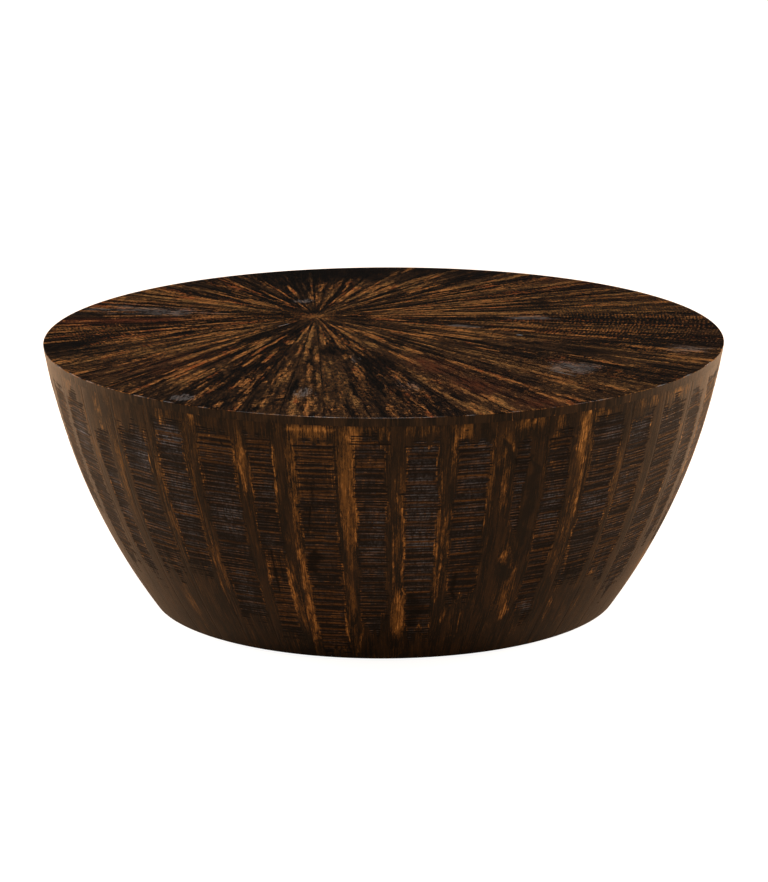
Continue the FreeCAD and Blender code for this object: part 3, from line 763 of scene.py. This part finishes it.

# What stands out in the photograph's top. Places are an angle about the focus in degrees and a
# distance from it in millimetres. RUBBED and SCRATCHES are strokes that run outward: angle, start,
# end, width, strength. The others are soft patches: angle, middle, two half sizes, strength. HATCHED
# ones keep the saw's marks across the grain. The grey patches are a painted gleam, grey that stands
# for the lacquer mirroring the lamps on its ripples.
RUBBED = [
    (21.6, 50, 225, 8, 1), (22, 250, 300, 15, 1), (35.5, 120, 235, 9, 0.9), (50, 60, 130, 7, 0.8),
    (53.6, 140, 220, 10, 0.7), (74, 110, 225, 8, 0.7), (66, 120, 330, 9, 0.7), (2.2, 110, 390, 9, 0.8),
    (16.2, 190, 385, 10, 0.9), (9.4, 420, 570, 11, 0.8), (28.6, 360, 510, 12, 0.7), (-57, 74, 214, 6, 1),
    (-58.2, 248, 310, 14, 1), (-50.3, 225, 300, 5, 1), (-34.7, 190, 300, 7, 0.9), (-49.6, 380, 590, 8, 1),
    (-66.5, 190, 240, 12, 0.9), (-80, 262, 305, 12, 0.9), (-98, 60, 130, 9, 1), (-101, 170, 200, 16, 0.7),
    (197.6, 60, 120, 6, 0.9), (198.6, 110, 192, 11, 1), (219, 155, 262, 9, 1), (205, 175, 372, 9, 0.7),
    (243.8, 145, 285, 8, 0.7), (243, 310, 462, 13, 0.9), (257, 235, 330, 8, 0.9), (150, 60, 345, 12, 0.75),
    (132, 215, 262, 14, 0.7), (121, 222, 262, 14, 0.7), (219.8, 455, 500, 14, 0.9), (34.4, 325, 362, 16, 0.7),
    (-47.7, 610, 670, 16, 0.7), (143, 80, 420, 10, 0.6), (-20, 120, 330, 7, 0.7), (-26, 150, 420, 7, 0.7),
    (-42, 110, 260, 7, 0.8), (12, 60, 330, 7, 0.9), (5.5, 90, 250, 6, 0.8), (-8, 300, 600, 6, 0.7),
    (44, 230, 360, 10, 0.6), (60, 200, 420, 8, 0.55), (231, 120, 340, 7, 0.8), (226, 90, 420, 6, 0.6),
    (251.5, 110, 300, 6, 0.7), (264, 300, 470, 8, 0.6), (273.6, 240, 420, 6, 0.6), (281, 120, 250, 8, 0.6),
    (287.5, 180, 480, 8, 0.6), (-14, 240, 520, 7, 0.6), (163, 90, 300, 7, 0.6), (171, 60, 330, 6, 0.5),
    (187, 70, 170, 7, 0.5), (212, 330, 470, 7, 0.6), (-70, 420, 560, 8, 0.6), (-84, 560, 660, 8, 0.6),
    (-92, 480, 640, 5, 0.8), (-36, 420, 560, 8, 0.6), (18, 430, 520, 9, 0.6)
]
REDDENED = [
    (184.8, 300, 3, 130, 0.9), (-62.8, 378, 3.4, 50, 0.9), (-63.2, 520, 3.2, 60, 0.7), (-60.6, 650, 3, 40, 0.6),
    (33, 540, 6, 90, 0.35), (236, 380, 7, 90, 0.3)
]
# Painted gleams: grey patches that stand for the lacquer mirroring the lamps on its ripples.
PAINTED_GLEAMS = [
    (102, 112, 12, 16, 0.8), (-3, 332, 2.4, 44, 0.8), (-18.5, 236, 2.4, 32, 1), (-43, 520, 4, 40, 1),
    (251.2, 556, 1.6, 17, 1.4), (-23, 600, 3, 40, 0.6), (172, 215, 8, 30, 0.8), (170, 260, 9, 130, 0.6),
    (269, 500, 2.2, 36, 0.7), (-73, 480, 3, 50, 0.5), (282, 300, 2.5, 40, 0.4)
]
HATCHED = [
    (2, 490, 26, 150, 1), (-44, 520, 8, 110, 1), (280, 470, 9, 100, 0.8), (222, 350, 14, 120, 0.7),
    (200, 330, 6, 60, 0.5), (30, 330, 9, 90, 0.7)
]
DARKENED = [
    (90, 330, 26, 80, 0.9), (60, 400, 14, 60, 0.6), (-85, 240, 5, 40, 0.7), (93, 34, 24, 18, 0.6),
    (-72, 330, 4, 60, 0.6), (-30, 470, 6, 70, 0.5), (209, 420, 5, 70, 0.6), (15, 350, 3, 40, 0.5)
]
SCRATCHES = [
    (107.5, 136, 262, 1.2, 1), (89, 210, 236, 1.2, 0.9), (232, 62, 92, 1.5, 0.9), (-47, 500, 560, 1.2, 0.5),
    (-24, 330, 345, 1.6, 0.8), (190, 345, 362, 1.4, 0.9)
]


def plain_slat(angle, rows):
    """Lays a grid out as a slat's top, its eased arris and its rim edge, and closes it below."""
    board = new_grid(SLAT_COLUMNS, rows)
    mesh = board.data
    flat = positions(mesh)
    across = flat[:, 0] * (3 - 4 * flat[:, 0] ** 2)
    row = np.rint((flat[:, 1] + 0.5) * rows)
    slope = math.tan(SLAT_TURN / 2)
    middle = np.array([math.cos(angle), math.sin(angle)])
    side = np.array([-middle[1], middle[0]])
    base = FOCUS - across[:, None] * JOINT_HALF * side
    lean = middle + across[:, None] * slope * side
    lean_size = np.linalg.norm(lean, axis=1)
    to_axis = (lean * base).sum(1) / lean_size
    flat_rim = RIM - ARRIS
    reach = np.sqrt(to_axis ** 2 + flat_rim ** 2 - (base * base).sum(1)) - to_axis
    end = reach / lean_size
    start = JOINT_HALF / slope
    top_rows = rows - ARRIS_ROWS - EDGE_ROWS
    forth = start + (end - start) * np.clip(row / top_rows, 0, 1)
    ground = base + forth[:, None] * lean
    round_off = np.radians(90) * np.clip((row - top_rows) / ARRIS_ROWS, 0, 1)
    level = TABLE_TOP - ARRIS * (1 - np.cos(round_off))
    down = np.clip((row - top_rows - ARRIS_ROWS) / EDGE_ROWS, 0, 1)
    level = level - down * (TABLE_TOP - ARRIS - SLAT_UNDER)
    edge = RIM_UNDER + (RIM - RIM_UNDER) * (level - SLAT_UNDER) / (TABLE_TOP - SLAT_UNDER)
    edge = edge - ARRIS * (1 - np.sin(round_off))
    radius = np.where(row > top_rows, edge, np.hypot(*ground.T))
    ground = ground * (radius / np.hypot(*ground.T))[:, None]
    set_positions(mesh, np.column_stack([ground, level]))

    # Each vertex carries its own place along the grain, since closing the slat renumbers them.
    grain = np.column_stack([across * (forth * slope - JOINT_HALF), forth + TABLE_TOP - level])
    mesh.attributes.new("grain", "FLOAT2", "POINT")
    mesh.attributes["grain"].data.foreach_set("vector", grain.astype(np.float32).ravel())

    on_side = np.isclose(abs(flat[:, 0]), 0.5)
    first, second = edge_ends(mesh).T
    sides = on_side[first] & on_side[second] & (flat[first, 0] == flat[second, 0])
    top_count = len(mesh.vertices)
    select(mesh, on_side, sides)
    edit((bpy.ops.mesh.extrude_edges_move, {}))
    places = positions(mesh)
    below = np.arange(len(places)) >= top_count
    shrink = np.minimum(1, RIM_UNDER / np.hypot(places[:, 0], places[:, 1]))
    places[below, :2] *= shrink[below, None]
    places[below, 2] = SLAT_UNDER
    set_positions(mesh, places)
    close_up((bpy.ops.mesh.select_all, {"action": "SELECT"}),
             (bpy.ops.mesh.remove_doubles, {"threshold": MERGED_WITHIN}))
    return board


def turn_from(place, angle):
    """Turn from a place to each point in degrees, the short way round."""
    return (angle - place + 180) % 360 - 180


def streaks(marks, angle, ahead):
    """How strongly spindle-shaped strokes along the slats cover each point."""
    cover = np.zeros_like(angle)
    for place, start, end, width, strength in marks:
        away = np.radians(turn_from(place, angle)) * ahead
        share = np.clip((ahead - start) / (end - start), 0, 1)
        spindle = (4 * share * (1 - share)) ** 0.4 * np.clip(ahead / 150, 0.3, 1) + 1e-4
        cover = np.maximum(cover, strength * spindle ** 0.3 * np.exp(-(away / (0.55 * width * spindle)) ** 4))
    return cover


def patches(marks, angle, ahead):
    """How strongly soft patches cover each point."""
    cover = np.zeros_like(angle)
    for place, middle, half_turn, half_length, strength in marks:
        away = turn_from(place, angle) / half_turn
        cover = np.maximum(cover, strength * np.exp(-away ** 2 - ((ahead - middle) / half_length) ** 2))
    return cover


def slat_finish():
    """Dark stain rubbed back to amber along the grain, under a glossy lacquer."""
    wood = Finish(bpy.data.materials.new("slat_lacquer"))
    grain = grain_of(wood)
    rubbed, painted_gleam, reddened, darkened = stored(wood, "marks")
    hatched, tone, scratch_and_shine, at_edge = stored(wood, "traits")

    streak = figure(grain, 9, 70, 3, 0.6, 0.6)
    strand = figure(grain, 3.4, 34, 3, 0.6, 0.4, shift=4.9)
    fibre = figure(grain, 1.3, 26, 2, 0.6, shift=2.3)
    cloud = figure(grain, 20, 80, 3, 0.55, 0.5, shift=8.1)
    mottle = figure(grain, 6, 15, 4, 0.65, 0.8, shift=12.7)
    cross = figure(grain, 16, 3.6, 3, 0.65, 0.3, shift=6.4)
    rust = figure(grain, 16, 60, 2, 0.5, 0.4, shift=31.6) - tone.swing(0.2)

    # Rungs 4 to 7 mm apart that the tool's chatter left, and cracks round cells of 10 by 17 mm.
    across, along = grain
    chatter = along * (tone * 520 + 940) + mottle * 9
    rungs = chatter.maths("SINE", chatter)
    spot = {0: across * 100 + mottle.swing(1.4), 1: along * 58 + strand.swing(1.8)}
    spot = wood.node("ShaderNodeCombineXYZ", None, spot)
    cells = {"voronoi_dimensions": "2D", "feature": "DISTANCE_TO_EDGE"}
    to_crack = wood.node("ShaderNodeTexVoronoi", cells, {"Vector": spot, "Scale": 1})
    crack = to_crack.between(0.2, 0.05) * (cloud + mottle).between(0.8, 1.05)

    # Stain, from nearly black to brown.
    shade = cloud + tone.swing(0.35) + mottle.swing(0.5) - darkened * 0.2
    colour = blend(shade.between(0.4, 0.75), (14, 10, 8), (56, 36, 21))
    colour = blend(strand.between(0.46, 0.76) * 0.5, colour, (82, 52, 27))
    # Bare wood where it is rubbed through, from amber to olive and rust.
    bitten = rubbed * 1.3 + streak.swing(1.4) + strand.swing(0.7) + mottle.swing(2.0) + tone * 0.2
    bitten = bitten - darkened * 0.9 + cross.swing(hatched * 2.8 + 1.6) + fibre.swing(0.4)
    bitten = bitten + rungs * (hatched * 0.42 + 0.14)
    warm = blend(strand.between(0.3, 0.7), (96, 57, 28), (168, 107, 54))
    warm = blend((cloud + tone.swing(0.3)).between(0.5, 0.68) * 0.6, warm, (120, 86, 46))
    warm = blend(rust.between(0.55, 0.7) * 0.7, warm, (140, 66, 28))
    colour = blend(bitten.between(0.4, 1.08) * 0.95, colour, warm)
    # Stain that stayed in the saw's marks and in the cracks, then the red and dark patches, and the grey
    # patches that are a painted gleam of the lacquer's reflections.
    colour = blend((hatched * cross.between(0.5, 0.62)) * 0.6, colour, (16, 12, 9))
    colour = blend(crack * (0.7 + hatched * 0.25), colour, (13, 10, 8))
    colour = blend(reddened * strand.between(0.3, 0.66) * 0.7, colour, (98, 46, 24))
    colour = blend((darkened + mottle.swing(0.6)).between(0.15, 0.85) * 0.85, colour, (14, 10, 7))
    # The painted gleam of the grey patches, broken up along the grain.
    gleam_cover = (painted_gleam + streak.swing(1.2) + mottle.swing(0.6)).between(0.25, 0.85) * painted_gleam.between(0.02, 0.3)
    gleam_cover = gleam_cover * (strand * 0.6 + fibre + mottle * 0.7).between(0.98, 1.35)
    colour = blend(gleam_cover.least(0.6) * 0.75, colour, (108, 100, 96))
    # Light scratches, and the painted highlight along the arris in the same light grey.
    colour = blend(scratch_and_shine.between(0.3, 0.7) * 0.8, colour, (160, 158, 158))

    # The rim's edge is stained like the staves.
    edge = blend(cloud.between(0.36, 0.68), (15, 10, 6), (46, 30, 16))
    edge = blend(strand.between(0.46, 0.76) * 0.5, edge, (80, 52, 26))
    edge = blend((rubbed + mottle.swing(1.2)).between(0.3, 0.9), edge, (150, 98, 50))
    colour = blend(at_edge, colour, edge)

    roughness = 0.22 + mottle.swing(0.16) + gleam_cover * 0.15 + at_edge * 0.12
    relief = strand.swing(0.12) + mottle.swing(0.2) + (cross.swing(0.3) + rungs * 0.05) * hatched
    return lacquer(wood, colour, roughness, relief, 0.42 - at_edge * 0.1, 0.12)


# How far down the flat top reaches and how far it is carved at most, in millimetres.
TOP_WITHIN = 0.1
DEEPEST = 0.8

slat_lacquer = slat_finish()
for sector in range(1, SLAT_COUNT // SLATS_PER_SECTOR + 1):
    slats = []
    for number in range((sector - 1) * SLATS_PER_SECTOR, sector * SLATS_PER_SECTOR):
        rng = np.random.default_rng(SLAT_SEED + number)
        angle = FIRST_JOINT + (number + 0.5) * SLAT_TURN
        out = np.array([math.cos(angle), math.sin(angle)]) @ FOCUS
        length = math.sqrt(out ** 2 + RIM ** 2 - FOCUS @ FOCUS) - out
        slat = plain_slat(angle, round(length / ROW_PITCH) + ARRIS_ROWS + EDGE_ROWS)
        mesh = slat.data
        places = positions(mesh)
        grain = np.empty(len(places) * 2, np.float32)
        mesh.attributes["grain"].data.foreach_get("vector", grain)
        grain = grain.reshape(-1, 2).astype(float)
        mesh.attributes.remove(mesh.attributes["grain"])
        lateral, along = grain.T * 1000
        toward = places[:, :2] - FOCUS
        ahead = np.hypot(*toward.T) * 1000
        turn = np.degrees(np.arctan2(toward[:, 1], toward[:, 0]))
        below = (TABLE_TOP - places[:, 2]) * 1000
        half_width = ahead * math.tan(SLAT_TURN / 2)
        to_joint = half_width - abs(lateral)

        # The photograph's marks, and rubbed and dark strokes of the slat's own.
        own, own_dark = [], []
        for strokes, fewest, widest in ((own, 7, 13), (own_dark, 6, 9)):
            for _ in range(rng.integers(fewest, fewest + 6)):
                start = length * 900 * rng.uniform(0.001, 1) ** 0.7
                place = math.degrees(angle + rng.uniform(-0.45, 0.45) * SLAT_TURN)
                strokes.append((place, start, start + rng.uniform(40, 190), rng.uniform(3, widest),
                                rng.uniform(0.3, 0.9)))
        rubbed = np.maximum(streaks(RUBBED + own, turn, ahead), 0.6 * np.exp(-(ahead / 30) ** 2))
        scratch_and_shine = streaks(SCRATCHES, turn, ahead)
        painted_gleam, reddened = patches(PAINTED_GLEAMS, turn, ahead), patches(REDDENED, turn, ahead)
        near_joint = rng.uniform(0.2, 1) * np.exp(-(to_joint / 1.1) ** 2)
        dark_strokes = streaks(own_dark, turn, ahead) * (1 - 0.5 * rubbed)
        darkened = np.maximum(patches(DARKENED, turn, ahead), dark_strokes)
        darkened = np.maximum(darkened, near_joint * np.clip(ahead / 90, 0, 1))
        hatched = patches(HATCHED, turn, ahead)
        tone = np.full(len(places), rng.uniform(0, 1))

        # The rim's edge is worn at some joints. All round, the arris gets amber wear that is partly a painted
        # highlight, and a light grey band along its crown that is a painted highlight of the lamps.
        on_edge = np.clip(below - 0.4, 0, 1)
        seam = (abs(lateral) > 0.97 * half_width) * (rng.random() < 0.3)
        arris = np.exp(-((below - 0.7) / 0.5) ** 2)
        short_wave = np.sin(lateral * 0.31 + rng.uniform(0, 6))
        fret = 0.55 + 0.3 * short_wave * np.sin(lateral * 0.12 + rng.uniform(0, 6))
        rubbed = np.maximum(np.maximum(rubbed * (1 - on_edge), arris * fret), 0.7 * seam * on_edge)
        crown_shine = np.exp(-((below - 0.5) / 0.4) ** 2) * (below > TOP_WITHIN)
        crown_fret = 0.42 + 0.2 * np.sin(lateral * 0.07 + rng.uniform(0, 6)) + 0.1 * np.sin(lateral * 0.9 + angle)
        scratch_and_shine = np.maximum(scratch_and_shine, crown_shine * crown_fret)

        # The plane left ripples, and the joints, scratches and dark strokes lie a little lower.
        phase = rng.uniform(0, 6, 4)
        ripple = 0.07 * np.sin(along / 23 + phase[0] + lateral * 0.05) * np.sin(along / 61 + phase[1])
        ripple += 0.06 * np.sin(along / 9.1 + phase[2]) * np.sin(lateral / 7 + along / 41 + phase[3])
        joint = 0.3 * np.exp(-(to_joint / 0.5) ** 2) * np.clip(ahead / 60, 0, 1)
        sink = 0.13 + ripple + joint + 0.3 * scratch_and_shine - 0.08 * rubbed + 0.1 * darkened
        places[:, 2] -= np.clip(sink, 0, DEEPEST) / 1000 * (below < TOP_WITHIN)
        set_positions(mesh, places)
        set_attribute(mesh, "marks", "FLOAT_COLOR", np.column_stack([rubbed, painted_gleam, reddened, darkened]))
        set_attribute(mesh, "traits", "FLOAT_COLOR", np.column_stack([hatched, tone, scratch_and_shine, on_edge]))
        set_grain_map(mesh, grain + [0.2 * number, 0.13 * number])
        slats.append(slat)
    for slat in slats:
        slat.select_set(True)
    bpy.ops.object.join()
    fan = bpy.context.object
    fan.name = f"slat_fan_{sector}"
    bpy.ops.object.shade_smooth_by_angle(angle=SHARP_ANGLE)
    fan.data.materials.append(slat_lacquer)
    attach(fan, "root")
    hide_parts(f"sunburst_sector_{sector}")


# Deck, rings and ribs
# 18 mm plywood, cut on a router and left unlacquered inside the drum, with a thin brown wash.
# Its seven plies show on every cut edge. The ribs' tabs are glued through the deck and base ring.
BOARD_THICK = 0.018
PLY_COUNT = 7


def plywood_finish(name, across, board_middle, along):
    """A plywood whose plies lie across one direction and whose face grain runs along another."""
    board = Finish(bpy.data.materials.new(name))
    place = board.node("ShaderNodeTexCoord", output="Object")

    def measured(direction):
        settings = {"operation": "DOT_PRODUCT"}
        return board.node("ShaderNodeVectorMath", settings, {0: place, 1: direction}, "Value")

    through, length, width = measured(across), measured(along), measured(np.cross(across, along))
    ply = (through - board_middle + BOARD_THICK / 2) * (PLY_COUNT / BOARD_THICK)
    from_middle = abs(ply - PLY_COUNT / 2)
    crossed = abs(ply.maths("PINGPONG", ply, 1) - 0.5)
    turned = ply.maths("PINGPONG", ply - 0.5, 2).between(0.85, 1.15)
    inner = from_middle.between(PLY_COUNT / 2 - 0.95, PLY_COUNT / 2 - 1.05)
    glue = crossed.between(0.40, 0.48) * from_middle.between(PLY_COUNT / 2, PLY_COUNT / 2 - 0.2)

    def veneer(lengthwise, crosswise, detail, shift):
        """A chance figure in each ply, with its repeats to the metre along and across the grain."""
        spot = {0: length * lengthwise + shift, 1: width * crosswise, 2: ply * 0.37}
        inputs = {"Vector": board.node("ShaderNodeCombineXYZ", None, spot), "Scale": 1, "Detail": detail,
                  "Distortion": 0.3}
        return board.node("ShaderNodeTexNoise", None, inputs)

    rings = veneer(3, 26, 4, 0)
    pores = veneer(26, 620, 2, 9)
    scuffs = veneer(34, 34, 5, 21)
    colour = blend(rings.between(0.35, 0.65), (108, 74, 45), (146, 106, 68))
    colour = blend(pores.between(0.52, 0.7) * 0.45, colour, (70, 45, 27))
    colour = blend(turned * inner * 0.6, colour, (74, 48, 30))
    colour = blend(glue * 0.8, colour, (42, 26, 16))
    colour = blend(scuffs.between(0.55, 0.75) * 0.4, colour, (62, 42, 27))
    relief = pores.swing(0.12) - glue * 0.1 + rings.swing(0.05)
    return lacquer(board, colour, 0.62 + scuffs.swing(0.2), relief, 0, 0.3)


def dress(node, material):
    """Gives a node of the frame its finish."""
    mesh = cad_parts[node].data
    for place in range(len(mesh.materials)):
        mesh.materials[place] = material


# How high the middle of each level board is, in metres, and which ways the ribs stand, in degrees.
LEVEL_BOARDS = {"top_deck": 0.378, "middle_ring": 0.199, "base_ring": 0.013}
RIB_TURNS = (45, 135, 225, 315)

for node, board_middle in LEVEL_BOARDS.items():
    dress(node, plywood_finish(f"{node}_plywood", (0, 0, 1), board_middle, (1, 0, 0)))
for number, turn in enumerate(RIB_TURNS, 1):
    away = math.radians(turn)
    across = (-math.sin(away), math.cos(away), 0)
    dress(f"rib_{number}", plywood_finish(f"rib_{number}_plywood", across, 0, (0, 0, 1)))


# Floor glides
# Four turned nylon discs, glued under the base ring. They are off-white, and dull and a little
# scratched underneath from sliding.
nylon = Finish(bpy.data.materials.new("glide_nylon"))
place = nylon.node("ShaderNodeTexCoord", output="Object")
fine = {"Vector": place, "Scale": 900, "Detail": 4, "Distortion": 1}
scratches = nylon.node("ShaderNodeTexNoise", None, fine)
grime = nylon.node("ShaderNodeTexNoise", None, {"Vector": place, "Scale": 160, "Detail": 3})
nylon_colour = blend(grime.between(0.45, 0.75) * 0.5, (206, 200, 186), (140, 130, 112))
nylon_colour = blend(scratches.between(0.58, 0.66) * 0.5, nylon_colour, (120, 112, 98))
dress("floor_glides", lacquer(nylon, nylon_colour, 0.42 + scratches * 0.2, scratches * 0.05, 0, 0.3))
